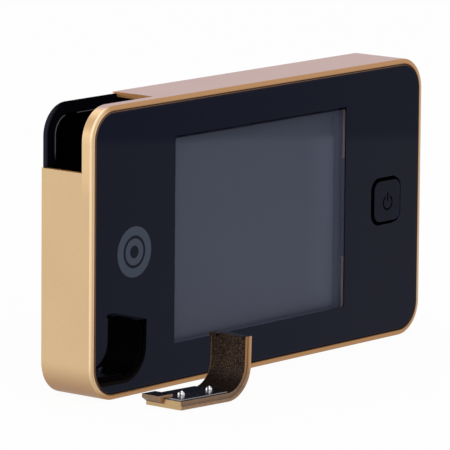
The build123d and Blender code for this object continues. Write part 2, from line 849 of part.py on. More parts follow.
# Plate on the inside of the cap that joins the two cells, cut out round the tongue
with BuildPart() as bridge_plate:
    with BuildSketch(cap_level.offset(-cap_inner)):
        span(cap_end + bridge_margin, -fit_gap, cap_front_y + bridge_margin, cap_rear_y - bridge_margin)
        span(
            cap_end, cap_end + cap_tongue_run + cap_tongue_slope + fit_gap,
            cap_rear_y - cap_tongue_width - fit_gap, cap_rear_y, Mode.SUBTRACT,
        )
        with Locations(*rivet_places):
            Circle(rivet_shank_radius + thread_gap, mode=Mode.SUBTRACT)
    extrude(amount=bridge_thickness)
bridge_plate.part.label = "bridge_plate"
export_step(bridge_plate.part, "parts/bridge_plate.step")


# Dome-headed contact rivets that hold the plate and touch the cells
with BuildPart(cap_level.offset(bridge_top)) as contact_rivets:
    with Locations(*rivet_places):
        Sphere(rivet_head_radius, arc_size1=0, align=(Align.CENTER, Align.CENTER, Align.MIN))
        Cylinder(
            rivet_shank_radius, rivet_shank_depth + bridge_thickness,
            align=(Align.CENTER, Align.CENTER, Align.MAX),
        )
contact_rivets.part.label = "contact_rivets"
export_step(contact_rivets.part, "parts/contact_rivets.step")
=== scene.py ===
# %% [markdown]
# # The indoor monitor of a door viewer, with its battery corner cap taken off
#
# The packed CAD model already holds every piece in its real place and size. This lesson
# gives those pieces their finishes, swaps the plain screws and rivets for finer ones, and
# lights and frames it all as a plain studio picture. Blender's own lengths are in metres,
# and the patterns in the materials are worked out in millimetres.

# %% Load the packed model
import math

import bmesh
import bpy
from mathutils import Matrix, Vector


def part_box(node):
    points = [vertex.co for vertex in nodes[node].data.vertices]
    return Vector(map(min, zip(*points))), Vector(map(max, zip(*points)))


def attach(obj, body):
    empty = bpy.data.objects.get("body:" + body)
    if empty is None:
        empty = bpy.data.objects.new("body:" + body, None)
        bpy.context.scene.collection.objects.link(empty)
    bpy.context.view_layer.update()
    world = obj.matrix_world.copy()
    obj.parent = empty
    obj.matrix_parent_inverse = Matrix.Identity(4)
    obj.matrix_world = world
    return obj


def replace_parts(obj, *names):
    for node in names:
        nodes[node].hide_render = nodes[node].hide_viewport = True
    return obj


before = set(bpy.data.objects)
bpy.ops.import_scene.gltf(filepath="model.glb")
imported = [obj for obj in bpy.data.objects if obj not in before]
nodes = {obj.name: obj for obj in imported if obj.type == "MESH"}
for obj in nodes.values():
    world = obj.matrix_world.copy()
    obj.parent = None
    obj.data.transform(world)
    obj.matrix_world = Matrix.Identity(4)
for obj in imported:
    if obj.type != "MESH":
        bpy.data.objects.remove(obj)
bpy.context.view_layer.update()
print("pieces in the frame:", len(nodes))

# %% [markdown]
# ## Where the camera stands
#
# A product picture like this one is taken from far away with a long lens, so that the
# straight edges stay nearly parallel. The camera is placed by its compass direction, its
# height above the horizon and a slight roll, and not by tracking an object, because the
# three angles say exactly where the picture was taken from.

# %% Camera
CAMERA_PLACE = (-0.95178, -0.78533, 0.24311)
CAMERA_AZIMUTH = math.radians(-50.337)
CAMERA_ELEVATION = math.radians(9.643)
CAMERA_ROLL = math.radians(0.485)
LEVEL = math.radians(90.0)
FOCAL_LENGTH = 417.5
SENSOR_WIDTH = 36.0

camera = bpy.data.objects.new("camera", bpy.data.cameras.new("camera"))
turn = Matrix.Rotation(CAMERA_AZIMUTH, 4, "Z")
tilt = Matrix.Rotation(LEVEL - CAMERA_ELEVATION, 4, "X")
roll = Matrix.Rotation(CAMERA_ROLL, 4, "Z")
camera.matrix_world = Matrix.Translation(CAMERA_PLACE) @ turn @ tilt @ roll
camera.data.lens = FOCAL_LENGTH
camera.data.sensor_width = SENSOR_WIDTH
bpy.context.scene.collection.objects.link(camera)
bpy.context.scene.camera = camera
bpy.context.scene.view_settings.view_transform = "Standard"
print("camera at", [round(v, 3) for v in camera.location], "lens", camera.data.lens)

# %% [markdown]
# ## Shader sums written as Python
#
# A pattern in a material is a sum on places and noises. Wiring each Math node by hand
# hides that sum, so a small class wraps a socket and turns `+`, `-` and `*` into nodes.
# Its `step` is a soft edge: it goes from 0 to 1 between two values. Most edges below are
# pairs of such values, named for the place where one tone gives way to the next.

# %% Signals
class Signal:
    """One output of a material's tree. A sum on it adds Math nodes."""

    def __init__(self, finish, socket):
        self.finish = finish
        self.socket = socket

    def math(self, operation, *others):
        return self.finish.add("ShaderNodeMath", {"operation": operation}, (self, *others))

    def __add__(self, other):
        return self.math("ADD", other)

    def __sub__(self, other):
        return self.math("SUBTRACT", other)

    def __rsub__(self, other):
        return self.finish.add("ShaderNodeMath", {"operation": "SUBTRACT"}, (other, self))

    def __mul__(self, other):
        return self.math("MULTIPLY", other)

    def __abs__(self):
        return self.math("ABSOLUTE")

    __radd__ = __add__
    __rmul__ = __mul__

    def least(self, other):
        return self.math("MINIMUM", other)

    def most(self, other):
        return self.math("MAXIMUM", other)

    def reach(self, other):
        """The distance to a point, from how far it lies one way and how far across."""
        return (self * self + other * other).math("SQRT")

    def step(self, start, end):
        """0 before start and 1 past end, whichever of the two is the higher."""
        settings = {"interpolation_type": "SMOOTHSTEP"}
        if start < end:
            ends = (start, end, 0.0, 1.0)
        else:
            ends = (end, start, 1.0, 0.0)
        return self.finish.add("ShaderNodeMapRange", settings, (self, *ends))

    def between(self, first_edge, second_edge):
        """1 between two soft edges and 0 outside them."""
        return self.step(*first_edge) * self.step(*second_edge)


print("sums on signals:", [name for name in vars(Signal) if not name.startswith("_")])

# %% [markdown]
# ## One class for every finish
#
# Each finish is one material on one Principled shader. The class gives it the place of a
# point in millimetres, on Object coordinates, because they are the same before and after
# a piece moves. It also has one method that adds any node, and a few that are named for
# what a finish needs: a noise, scattered cells, layers of colour and a bump. A Mix node
# has sockets for numbers, vectors and colours in one list, so those for colours are taken
# by their numbers.

# %% Finishes
MM_IN_A_METRE = 1000.0
MIX_SHARE, MIX_FIRST, MIX_SECOND, MIX_COLOUR = 0, 6, 7, 2


class Finish:
    """A material with one Principled shader, named for the surface that it covers."""

    def __init__(self, name, **constants):
        self.material = bpy.data.materials.new(name)
        self.material.use_nodes = True
        self.tree = self.material.node_tree
        self.shader = self.tree.nodes["Principled BSDF"]
        self.place = self.add("ShaderNodeTexCoord", {}, (), "Object")
        sockets = {0: self.place, "Scale": MM_IN_A_METRE}
        place_mm = self.add("ShaderNodeVectorMath", {"operation": "SCALE"}, sockets)
        self.x, self.y, self.z = (self.one_of(place_mm, axis) for axis in "XYZ")
        for socket, value in constants.items():
            self.set(socket.replace("_", " "), value)

    def add(self, kind, settings, inputs, output=0):
        """Add a node: its settings first, then the value or link of each socket."""
        node = self.tree.nodes.new(kind)
        for setting, value in settings.items():
            setattr(node, setting, value)
        pairs = inputs.items() if isinstance(inputs, dict) else enumerate(inputs)
        for key, value in pairs:
            if isinstance(value, Signal):
                self.tree.links.new(value.socket, node.inputs[key])
            else:
                node.inputs[key].default_value = value
        return Signal(self, node.outputs[output])

    def set(self, socket, value):
        """Set or link one socket of the Principled shader."""
        target = self.shader.inputs[socket]
        if isinstance(value, Signal):
            self.tree.links.new(value.socket, target)
        else:
            target.default_value = value

    def one_of(self, vector, axis):
        """One of the three numbers of a place or a colour."""
        return self.add("ShaderNodeSeparateXYZ", {}, (vector,), axis)

    def noise(self, per_mm, detail=2.0, stretch=(1.0, 1.0, 1.0)):
        """Noise from 0 to 1 with a number of lumps to the millimetre."""
        scale = tuple(per_mm * MM_IN_A_METRE * s for s in stretch)
        at = self.add("ShaderNodeMapping", {}, {"Vector": self.place, "Scale": scale})
        sockets = {"Vector": at, "Scale": 1.0, "Detail": detail}
        return self.add("ShaderNodeTexNoise", {}, sockets, "Fac")

    def cells(self, per_mm, output):
        """The Distance to scattered points, or a Color for the cell round each of them."""
        sockets = {"Vector": self.place, "Scale": per_mm * MM_IN_A_METRE}
        return self.add("ShaderNodeTexVoronoi", {}, sockets, output)

    def blend(self, share, first, second):
        """A colour between two, given as colours or signals."""
        first, second = ((*c, 1.0) if isinstance(c, tuple) else c for c in (first, second))
        sockets = {MIX_SHARE: share, MIX_FIRST: first, MIX_SECOND: second}
        return self.add("ShaderNodeMix", {"data_type": "RGBA"}, sockets, MIX_COLOUR)

    def layers(self, colour, *coats):
        """A colour under coats, each with the share of the surface that it covers."""
        for share, coat in coats:
            colour = self.blend(share, colour, coat)
        return colour

    def toned(self, tone, colour, spread=0.1):
        """A colour that gets a little darker and lighter with the tone."""
        dark, light = (tuple(c * (1.0 + s) for c in colour) for s in (-spread, spread))
        return self.blend(tone, dark, light)

    def bump(self, height, depth_mm):
        """Raise the surface by a height from 0 to 1, over a depth in millimetres."""
        sockets = {"Height": height, "Distance": depth_mm / MM_IN_A_METRE}
        self.set("Normal", self.add("ShaderNodeBump", {}, sockets))

    def cover(self, *names):
        """Give this finish to CAD nodes."""
        for name in names:
            materials = nodes[name].data.materials
            materials.clear()
            materials.append(self.material)
            print(self.material.name, "on", name)


print("a finish can be", [name for name in vars(Finish) if not name.startswith("_")])

# %% [markdown]
# ## Floor and world
#
# A real studio sweep is white paper under big soft lamps. The floor is a pale plane that
# shows white to the camera but still takes a faint shadow, so most of it glows at a
# strength of 1 for camera and mirror rays and the rest is lit paper. Its paper is a finish
# with a glow mixed in. The world is white for the same rays and dimmer for the light that
# it sheds.

# %% Stage
FLOOR_SIZE = 6.0
FLOOR_GLOW = 0.95
PAPER = (0.9, 0.9, 0.9, 1.0)
WHITE = (1.0, 1.0, 1.0, 1.0)
WORLD_LIGHT = 0.5

bpy.ops.mesh.primitive_plane_add(size=FLOOR_SIZE)
floor = bpy.context.object
floor.name = "studio_floor"


def seen_directly(tree):
    """1 for camera, glossy and transmission rays and 0 for diffuse and shadow rays."""
    path = tree.nodes.new("ShaderNodeLightPath")
    total = path.outputs["Is Camera Ray"]
    for output in ("Is Glossy Ray", "Is Transmission Ray"):
        either = tree.nodes.new("ShaderNodeMath")
        either.operation = "MAXIMUM"
        tree.links.new(total, either.inputs[0])
        tree.links.new(path.outputs[output], either.inputs[1])
        total = either.outputs[0]
    return total


paper = Finish("studio_paper", Base_Color=PAPER, Roughness=1.0, Specular_IOR_Level=0.0)
paper_nodes, paper_links = paper.tree.nodes, paper.tree.links
paper_glow = paper_nodes.new("ShaderNodeEmission")
paper_share = Signal(paper, seen_directly(paper.tree)) * FLOOR_GLOW
paper_mix = paper_nodes.new("ShaderNodeMixShader")
for socket, given in enumerate((paper_share.socket, paper.shader.outputs[0], paper_glow.outputs[0])):
    paper_links.new(given, paper_mix.inputs[socket])
paper_links.new(paper_mix.outputs[0], paper_nodes["Material Output"].inputs["Surface"])
floor.data.materials.append(paper.material)

world = bpy.context.scene.world or bpy.data.worlds.new("studio_world")
bpy.context.scene.world = world
world.use_nodes = True
world_nodes, world_links = world.node_tree.nodes, world.node_tree.links
world_strength = world_nodes.new("ShaderNodeMapRange")
world_strength.inputs["To Min"].default_value = WORLD_LIGHT
world_strength.inputs["To Max"].default_value = 1.0
world_links.new(seen_directly(world.node_tree), world_strength.inputs["Value"])
world_nodes["Background"].inputs["Color"].default_value = WHITE
world_links.new(world_strength.outputs[0], world_nodes["Background"].inputs["Strength"])
print("floor", FLOOR_SIZE, "m, world light", WORLD_LIGHT)

# %% [markdown]
# ## Lamps
#
# Three large square lamps stand in for softboxes: the main one high in front at the left,
# a weaker one at the left beside the open corner, and one overhead for the top of the
# casing. Each faces the object, so its turn follows from its place.

# %% Lamps
LAMPS = {
    "key_lamp": {"place": (-0.9, -1.1, 1.3), "size": 1.2, "watts": 9.0},
    "fill_lamp": {"place": (-1.6, 0.3, 0.7), "size": 1.2, "watts": 5.0},
    "top_lamp": {"place": (0.4, 0.3, 1.6), "size": 1.4, "watts": 7.0},
}

for name, facts in LAMPS.items():
    lamp = bpy.data.objects.new(name, bpy.data.lights.new(name, "AREA"))
    lamp.data.size = facts["size"]
    lamp.data.energy = facts["watts"]
    lamp.location = facts["place"]
    lamp.rotation_euler = (-Vector(facts["place"])).to_track_quat("-Z", "Y").to_euler()
    bpy.context.scene.collection.objects.link(lamp)
print("lamps:", ", ".join(LAMPS))

# %% [markdown]
# ## Places and colours
#
# Patterns that mark one place, such as the key's sign or the clear part of the glass,
# need the place of the piece. It is read from the packed model, so it follows the CAD.
# Colours are easier to judge as they look on a screen, so they are written from 0 to 255,
# and one function turns them into the light that a shader works with.

# %% Places read from the frame, and colours
def box_mm(node):
    """The lowest and highest corner of a CAD node, in millimetres."""
    low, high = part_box(node)
    return low * MM_IN_A_METRE, high * MM_IN_A_METRE


def shade(red, green, blue):
    """A colour as it looks on a screen, from 0 to 255, as light."""
    return tuple(((c / 255.0 + 0.055) / 1.055) ** 2.4 for c in (red, green, blue))


casing_low, casing_high = box_mm("front_frame")
casing_width = casing_high.x - casing_low.x
print("casing", [round(v, 2) for v in casing_high - casing_low], "mm")

# %% [markdown]
# ## How far in from the outline
#
# The casing, the glass and the cover in the open corner all follow one rounded outline,
# and lines and shades run along it. So one helper works out how far a point lies inside
# that outline. It is the distance to a box with round corners, seen from the front.

# %% Distance to the outline
CORNER_ROUND = 8.0


def from_outline(finish):
    """How far a point lies inside the casing's rounded outline, in millimetres."""
    half_height = casing_high.z / 2
    across = abs(finish.x) - (casing_width / 2 - CORNER_ROUND)
    along = abs(finish.z - half_height) - (half_height - CORNER_ROUND)
    past_corner = across.most(0.0).reach(along.most(0.0))
    return CORNER_ROUND - (past_corner + across.most(along).least(0.0))


print("outline", round(casing_width, 2), "x", round(casing_high.z, 2), "mm, round", CORNER_ROUND)

# %% [markdown]
# ## Gold lacquer
#
# The casing is a zinc casting, blasted and given a thin metallic lacquer, so it shines
# softly and glitters a little in close view. A metal with a broad roughness gives the
# soft shine, small cells give the glitter, and a slow noise keeps large faces from
# looking computed. The loose cap wears the same lacquer, so a function makes it.

# %% Lacquered metal
METAL_SHARE = 0.9
GRAINS_PER_MM = 7.0
GLITTER_PER_MM = 9.0
MOTTLES_PER_MM = 2.6
DRIFTS_PER_MM = 0.06
SPARKLING = (0.88, 1.0)
LACQUER_GRAIN = 0.008


def lacquered(name):
    """A blasted and lacquered metal, with the tone that its grain gives."""
    gold = Finish(name, Metallic=METAL_SHARE)
    grain = gold.noise(GRAINS_PER_MM, detail=3.0)
    sparkle = gold.one_of(gold.cells(GLITTER_PER_MM, "Color"), "X").step(*SPARKLING)
    drift = 0.3 * gold.noise(DRIFTS_PER_MM) + 0.35 * gold.noise(MOTTLES_PER_MM)
    gold.set("Roughness", 0.42 + 0.1 * grain - 0.14 * sparkle)
    gold.bump(grain + 0.5 * sparkle, LACQUER_GRAIN)
    return gold, 0.1 + drift + 0.25 * sparkle


casing, casing_tone = lacquered("casing_gold")
print("lacquer with", len(casing.tree.nodes), "nodes")

# %% [markdown]
# ## The casing's side band
#
# The lacquer's colour is painted to show how it catches the light: a painted highlight on
# the narrow strip in front of the open corner, a browner painted reflection of the table at
# the foot, painted shade on the corner's round, a duller painted reflection on top and a
# deep gold on the cut faces where the corner opens. Each is a coat over the side's own gold.

# %% Golds on the side
GOLDS = {
    "side": shade(214, 183, 141),
    "strip": shade(230, 196, 151),
    "foot": shade(168, 127, 93),
    "round": shade(190, 150, 107),
    "top": shade(178, 149, 144),
    "cut": shade(212, 154, 98),
}
NOTCH_RIGHT = casing_low.x + 25.1
NOTCH_FOOT = casing_high.z - 15.2
STRIP_HEIGHT = (NOTCH_FOOT - 8.0, NOTCH_FOOT + 2.0)
STRIP_DEPTH = (-4.7, -4.8)
FOOT_SHADE = (9.0, 0.5)
ROUND_HEIGHT = ((62.8, 65.0), (67.5, 66.0))
ROUND_LEFT = (-54.0, -56.0)
ROUND_SHARE = 0.55
TOP_HEIGHT = (67.8, 68.9)
CUT_LINE = (0.03, 0.01)
PAST_NOTCH = 0.1

golds = {place: casing.toned(casing_tone, colour) for place, colour in GOLDS.items()}
strip_highlight = casing.z.step(*STRIP_HEIGHT) * casing.y.step(*STRIP_DEPTH)
round_shade = casing.z.between(*ROUND_HEIGHT) * casing.x.step(*ROUND_LEFT)
upright_cut = abs(casing.x - NOTCH_RIGHT).step(*CUT_LINE)
upright_cut = upright_cut * casing.z.step(NOTCH_FOOT, NOTCH_FOOT + PAST_NOTCH)
level_cut = abs(casing.z - NOTCH_FOOT).step(*CUT_LINE)
level_cut = level_cut * casing.x.step(NOTCH_RIGHT, NOTCH_RIGHT - PAST_NOTCH)
# The strip's painted highlight, the foot's and the top's painted reflections and the round's painted
# shade go over the side's gold.
side_band = casing.layers(
    golds["side"],
    (strip_highlight, golds["strip"]),
    (casing.z.step(*FOOT_SHADE), golds["foot"]),
    (ROUND_SHARE * round_shade, golds["round"]),
    (casing.z.step(*TOP_HEIGHT), golds["top"]),
    (upright_cut.most(level_cut), golds["cut"]),
)
print("side band of", len(golds), "golds, open corner from", round(NOTCH_RIGHT, 2), "mm")

# %% [markdown]
# ## The rim round the glass
#
# The rim's front is painted a deeper gold, a painted reflection of the darker room in front
# of it, lighter at the left and the right and darker below. A painted highlight runs along
# its outer edge and another along its inner bevel, and painted shade on its inner facet
# gives it a dark foot against the glass. The lines follow the outline, so they read the
# distance to it. The highlights are painted only where the rim turns to the light, at the
# left.

# %% Rim, and the casing's finish
RIM_GOLD = shade(187, 142, 98)
RIM_LOW = shade(177, 133, 88)
RIM_LEFT = shade(210, 176, 134)
RIM_RIGHT = shade(198, 166, 132)
RIM_SHINE = shade(250, 220, 180)
RIM_FOOT_SHADE = shade(78, 52, 30)
LEFT_END = (-55.0, -59.0)
RIGHT_END = (60.0, 61.2)
LOW_RUN = (5.0, 1.5)
LEFT_RUN = (1.0, 4.0)
FRONT_FACE = (-7.38, -7.44)
INNER_LINE = ((0.66, 0.8), (1.04, 0.9))
INNER_SHINE = 0.5
RIM_FOOT_INSET = (1.08, 1.2)
OUTER_LINE = (0.46, 0.3)
OUTER_LINE_DEPTH = (-7.02, -7.2)
OUTER_LINE_HEIGHT = (3.0, 10.0)
OUTER_SHINE = 0.85

inset = from_outline(casing)
to_left = casing.x.step(*LEFT_END)
inner_highlight = to_left * inset.between(*INNER_LINE)
outer_highlight = to_left * inset.step(*OUTER_LINE) * casing.y.step(*OUTER_LINE_DEPTH)
outer_highlight = outer_highlight * casing.z.step(*OUTER_LINE_HEIGHT)
# Painted reflection, painted highlights and painted shade on the rim's front.
rim = casing.layers(
    RIM_GOLD,
    (casing.z.step(*LOW_RUN), RIM_LOW),
    (to_left * casing.z.step(*LEFT_RUN), RIM_LEFT),
    (casing.x.step(*RIGHT_END), RIM_RIGHT),
    (INNER_SHINE * inner_highlight, RIM_SHINE),
    (inset.step(*RIM_FOOT_INSET), RIM_FOOT_SHADE),
)
on_front = casing.y.step(*FRONT_FACE)
# The outer painted highlight also runs over the front strip of the side.
casing.set(
    "Base Color",
    casing.layers(side_band, (on_front, rim), (OUTER_SHINE * outer_highlight, RIM_SHINE)),
)
casing.cover("front_frame")

# %% [markdown]
# ## Directions on the loose cap
#
# The cap lies in front of the monitor with its inside up, and leans a little on its
# corner round. Its own directions are found by turning the place of a point back by that
# lean, about the round's centre. How deep the point lies under the cap's outer face then
# follows: it is the round's radius less the distance to its centre.

# %% Depth under the cap's face
CAP_LEAN = math.radians(1.7)
CAP_ROUND_X = -37.8

cap_low, cap_high = box_mm("corner_cap")
cap, cap_tone = lacquered("cap_gold")
aside = cap.x - CAP_ROUND_X
above = cap.z - CORNER_ROUND
along = aside * math.cos(CAP_LEAN) - above * math.sin(CAP_LEAN)
up = aside * math.sin(CAP_LEAN) + above * math.cos(CAP_LEAN)
depth = CORNER_ROUND - along.most(0.0).reach((0.0 - up).most(0.0))
print("cap from", [round(v, 1) for v in cap_low], "to", [round(v, 1) for v in cap_high])

# %% [markdown]
# ## The cap's bare inside
#
# Lacquer is sprayed from outside, so the inside of the cap keeps the rough, brown
# casting. Its dark base is partly the casting's colour and partly painted shade, its lumps
# and glints are painted lighter where it rises into the light, and its brass is painted
# darker where it lies in shade. A bare edge is brassy: the front one, the one at the cap's
# end and the one along its tongue. The tongue's side is painted lighter to make up for the
# shade of the recess beside it, and a painted highlight in the same brass runs along the
# rear edge. Between the lacquered shell and the casting runs a dark seam.

# %% Casting and bare edges
CASTING = shade(118, 99, 86)
CASTING_DARK = shade(30, 22, 18)
BRASS = shade(163, 122, 82)
BRASS_LOW = shade(130, 104, 84)
BRASS_END = shade(134, 110, 88)
BRASS_TONGUE = shade(192, 150, 118)
SHELL_DEPTH = 0.85
CAP_END = -16.9
TONGUE_ROOT = -12.8
TONGUE_TOP = -5.2
TONGUE_SIDE = -23.65
NEAR_FACE = (0.06, 0.02)
CRYSTALS_PER_MM = 3.2
CRYSTAL_FACES = (0.35, 0.8)
GLINTS_PER_MM = 5.5
GLINTING = (0.82, 1.0)
IN_LIGHT = (-5.5, 0.0)
IN_SHADE = (1.0, -5.0)
FRONT_CUT = (cap_low.y + 0.36, cap_low.y + 0.32)
# The brass line along the rear edge is a painted highlight.
REAR_HIGHLIGHT = (cap_high.y - 0.2, cap_high.y - 0.1)
END_CUT = (CAP_END + 0.06, CAP_END + 0.02)
SEAM = ((SHELL_DEPTH - 0.06, SHELL_DEPTH), (SHELL_DEPTH + 0.2, SHELL_DEPTH + 0.12))

crystals = cap.noise(CRYSTALS_PER_MM, detail=3.0)
glint = cap.one_of(cap.cells(GLINTS_PER_MM, "Color"), "Y").step(*GLINTING)
in_light = up.step(*IN_LIGHT)
in_shade = up.step(*IN_SHADE)
front_cut = cap.y.step(*FRONT_CUT)
end_cut = along.step(*END_CUT)
tongue_side = abs(cap.y - TONGUE_SIDE).step(*NEAR_FACE)
tongue_side = tongue_side * along.step(TONGUE_ROOT + 0.1, TONGUE_ROOT)
bare_edges_and_highlight = front_cut.most(end_cut).most(tongue_side).most(cap.y.step(*REAR_HIGHLIGHT))
seam = depth.between(*SEAM)
brass = cap.layers(
    cap.toned(crystals, BRASS, 0.2),
    # In shade the brass is painted darker.
    (in_shade, cap.toned(crystals, BRASS_LOW, 0.5)),
    (end_cut, cap.toned(crystals, BRASS_END, 0.2)),
    # The tongue's side is painted lighter to make up for the shade of its recess.
    (tongue_side, cap.toned(crystals, BRASS_TONGUE, 0.2)),
)
inside = cap.layers(
    # The dark base is partly the casting's own colour and partly painted shade.
    CASTING_DARK,
    # Lumps and glints are painted lighter where the inside rises into the light.
    (crystals.step(*CRYSTAL_FACES) * (0.25 + 0.45 * in_light), CASTING),
    ((0.15 + 0.3 * in_light) * glint, BRASS),
    (bare_edges_and_highlight, brass),
    (0.5 * seam * in_shade * (1.0 - end_cut), CASTING_DARK),
)
print("casting in", 1.0 / CRYSTALS_PER_MM, "mm lumps under a shell of", SHELL_DEPTH, "mm")

# %% [markdown]
# ## The cap's shell and black faces
#
# Outside, the cap has the casing's lacquer, and its cut edges show the metal under it,
# painted darker where they lie in shade. Two faces are drawn black and glossy: the end of
# the standing leg, and the top of the tongue at the other end. Both face up, and their black
# is a painted reflection of the dark that they face. How high a point lies along the cap's
# own directions marks both.

# %% Shell, black faces and the cap's finish
SHELL = shade(181, 145, 108)
SHELL_LOW = shade(151, 119, 93)
SHELL_END = shade(188, 158, 116)
MIRRORED_DARK = shade(20, 20, 24)
END_BLOCK_BACK = cap_low.y + 5.1
LEG_TOP = 6.6
CASTING_LUMPS = 0.015

shell_cut = cap.layers(
    cap.toned(crystals, SHELL, 0.15),
    # The cut edges are painted darker where they lie in shade.
    (in_shade, cap.toned(crystals, SHELL_LOW, 0.5)),
    (end_cut, cap.toned(crystals, SHELL_END, 0.15)),
)
shell = cap.blend(front_cut.most(end_cut), cap.toned(cap_tone, GOLDS["side"]), shell_cut)
end_block = end_cut * cap.y.step(END_BLOCK_BACK + 0.1, END_BLOCK_BACK - 0.1)
under_shell = depth.step(SHELL_DEPTH - 0.04, SHELL_DEPTH + 0.04) * (1.0 - end_block)
leg_end = up.step(LEG_TOP - 0.06, LEG_TOP - 0.02)
tongue_top = up.step(TONGUE_TOP - 0.06, TONGUE_TOP - 0.02)
# The faces that carry the painted reflection of the dark; they also get a lower roughness and no metal.
gloss = leg_end.most(tongue_top * along.step(TONGUE_ROOT, TONGUE_ROOT - 0.2))
rough = depth.step(SHELL_DEPTH, SHELL_DEPTH + 0.1) * (1.0 - gloss)
cap.set("Base Color", cap.layers(shell, (under_shell, inside), (gloss, MIRRORED_DARK)))
cap.set("Metallic", METAL_SHARE - METAL_SHARE * gloss)
cap.set("Roughness", 0.4 + 0.12 * cap.noise(5.0) - 0.25 * gloss)
cap.bump(cap.noise(GRAINS_PER_MM) + 4.0 * rough * crystals, CASTING_LUMPS)
cap.cover("corner_cap")

# %% [markdown]
# ## The black of the glass
#
# The front is clear glass with black printed on its back, so over the print it is an
# almost perfect black mirror, and the glass is solid black there. A low index keeps the
# mirror faint, as the coating of such a glass does, and its bluish tint is the coating's
# too. The room's horizon shows in it as a soft level line, with the coating's shine only
# below it. Towards its edge the glass is painted a little greyer, a painted highlight on
# its bevel, and a thin brown ring beside the rim stands for the rim's mirror image.

# %% Glass: black, coating and edges
GLASS_INDEX = 1.22
COATING_INDEX = 1.08
GLASS_TINT = (0.0, 0.12, 1.0, 1.0)
GLASS_BLACK = (0.0002, 0.0002, 0.0003)
EDGE_HIGHLIGHT = (0.007, 0.006, 0.007)
BESIDE_RIM = shade(124, 88, 58)
HORIZON = (56.5, 53.5)
HORIZON_SLOPE = 0.1
EDGE_HIGHLIGHT_INSET = (2.3, 1.3)
RIM_INSET = (1.68, 1.54)
RIM_RUN_FOOT = (2.0, 5.0)
RIM_RUN_RIGHT = (59.5, 58.0)
DUST_PER_MM = 0.35
DUST_SPECK = (0.05, 0.02)


def below_horizon(finish):
    """0 above the line at which the room's floor meets its wall in the mirror, 1 below."""
    return (finish.z + HORIZON_SLOPE * finish.x).step(*HORIZON)


glass = Finish("front_glass", IOR=GLASS_INDEX, Coat_IOR=COATING_INDEX, Coat_Roughness=0.02)
glass.set("Specular Tint", GLASS_TINT)
glass.set("Coat Weight", below_horizon(glass))
glass_inset = from_outline(glass)
beside_rim = glass_inset.step(*RIM_INSET)
beside_rim = beside_rim * glass.z.step(*RIM_RUN_FOOT) * glass.x.step(*RIM_RUN_RIGHT)
# The greyer edge is a painted highlight and the brown ring a painted reflection.
glass_black = glass.layers(
    GLASS_BLACK, (glass_inset.step(*EDGE_HIGHLIGHT_INSET), EDGE_HIGHLIGHT), (beside_rim, BESIDE_RIM)
)
dust = glass.cells(DUST_PER_MM, "Distance").step(*DUST_SPECK)
glass.set("Roughness", 0.015 + 0.03 * glass.noise(0.12, detail=3.0) + 0.3 * dust)
print("glass of index", GLASS_INDEX, "under a coating of", COATING_INDEX)

# %% [markdown]
# ## The sign and the clear window
#
# The glass carries a round sign in a grey that looks much like the screen: a plain disc
# with a ring and a dot, as a picture of a lens. Over the window the glass is clear, with
# a low alpha that lets the deeper pieces show. This glass doesn't bend light as a real
# one does, so its clear part is placed as the window is seen from the front left. The
# whole back face is clear, so that it hides nothing behind the clear part.

# %% Glass: sign and window
SIGN_X, SIGN_Z = -46.8, 33.9
SIGN_RADIUS = 6.0
SIGN_INK = shade(64, 71, 81)
LENS_RING = 3.5
LENS_STROKE = (0.38, 0.32)
LENS_DOT = (1.53, 1.47)
GLASS_FACE = (-7.6, -7.7)
GLASS_BACK = (-6.9, -6.7)
CLEAR_ALPHA = 0.1
CLEAR_WIDTH = ((-32.4, -32.35), (31.85, 31.8))
CLEAR_HEIGHT = ((10.15, 10.2), (59.45, 59.4))

from_sign = (glass.x - SIGN_X).reach(glass.z - SIGN_Z)
lens = abs(from_sign - LENS_RING).step(*LENS_STROKE).most(from_sign.step(*LENS_DOT))
sign = from_sign.step(SIGN_RADIUS + 0.03, SIGN_RADIUS - 0.03) * (1.0 - lens)
sign = sign * glass.y.step(*GLASS_FACE)
over_window = glass.x.between(*CLEAR_WIDTH) * glass.z.between(*CLEAR_HEIGHT)
clear = over_window.most(glass.y.step(*GLASS_BACK))
glass.set("Base Color", glass.blend(sign, glass_black, SIGN_INK))
glass.set("Alpha", 1.0 - (1.0 - CLEAR_ALPHA) * clear)
glass.cover("front_glass")

# %% [markdown]
# ## The print
#
# The print is black, but what the glass in front of it mirrors would be lost where the
# glass is drawn clear. The print carries that shimmer as its colour, so that no border
# shows round the window.

# %% Print
PRINT_HIGH = (0.0112, 0.0118, 0.0215)
PRINT_LOW = (0.0150, 0.0165, 0.0300)

ink = Finish("black_print", Specular_IOR_Level=0.0)
ink.set("Base Color", ink.blend(below_horizon(ink), PRINT_HIGH, PRINT_LOW))
ink.set("Roughness", 0.4 + 0.2 * ink.noise(1.5))
ink.cover("window_mask")

# %% [markdown]
# ## Screen
#
# A switched-off screen is a grey-blue polariser under an anti-glare film. The lit area is
# a little lighter than the sealed border round it, which shows at the right and below.
# The film's grain is too fine to see from afar, but it blurs what the screen mirrors, so
# the room's horizon is a soft step in the grey, a painted reflection, lighter below it. The
# right end lies in the shade of the glass's black edge, so the greys there are painted
# lighter to make up for that. Less light reaches the foot, so the grey towards the foot and
# the border below the screen are painted lighter to make up for that too.

# %% Screen glass
SCREEN_HIGH = shade(79, 85, 102)
SCREEN_MIDDLE = shade(91, 96, 114)
SCREEN_FOOT = shade(98, 102, 119)
SCREEN_RIGHT = shade(104, 109, 128)
BORDER = shade(86, 89, 109)
BORDER_RIGHT = shade(108, 112, 136)
BORDER_LOW = shade(102, 106, 127)
SCREEN_MIDDLE_Z = 48.0
SCREEN_SHADED = (18.0, 30.0)
BORDER_SHADED = (29.8, 32.6)
BORDER_FOOT = (10.2, 9.6)
LIT_RIGHT = 30.15
LIT_FOOT = 10.45
LIT_EDGE = 0.08

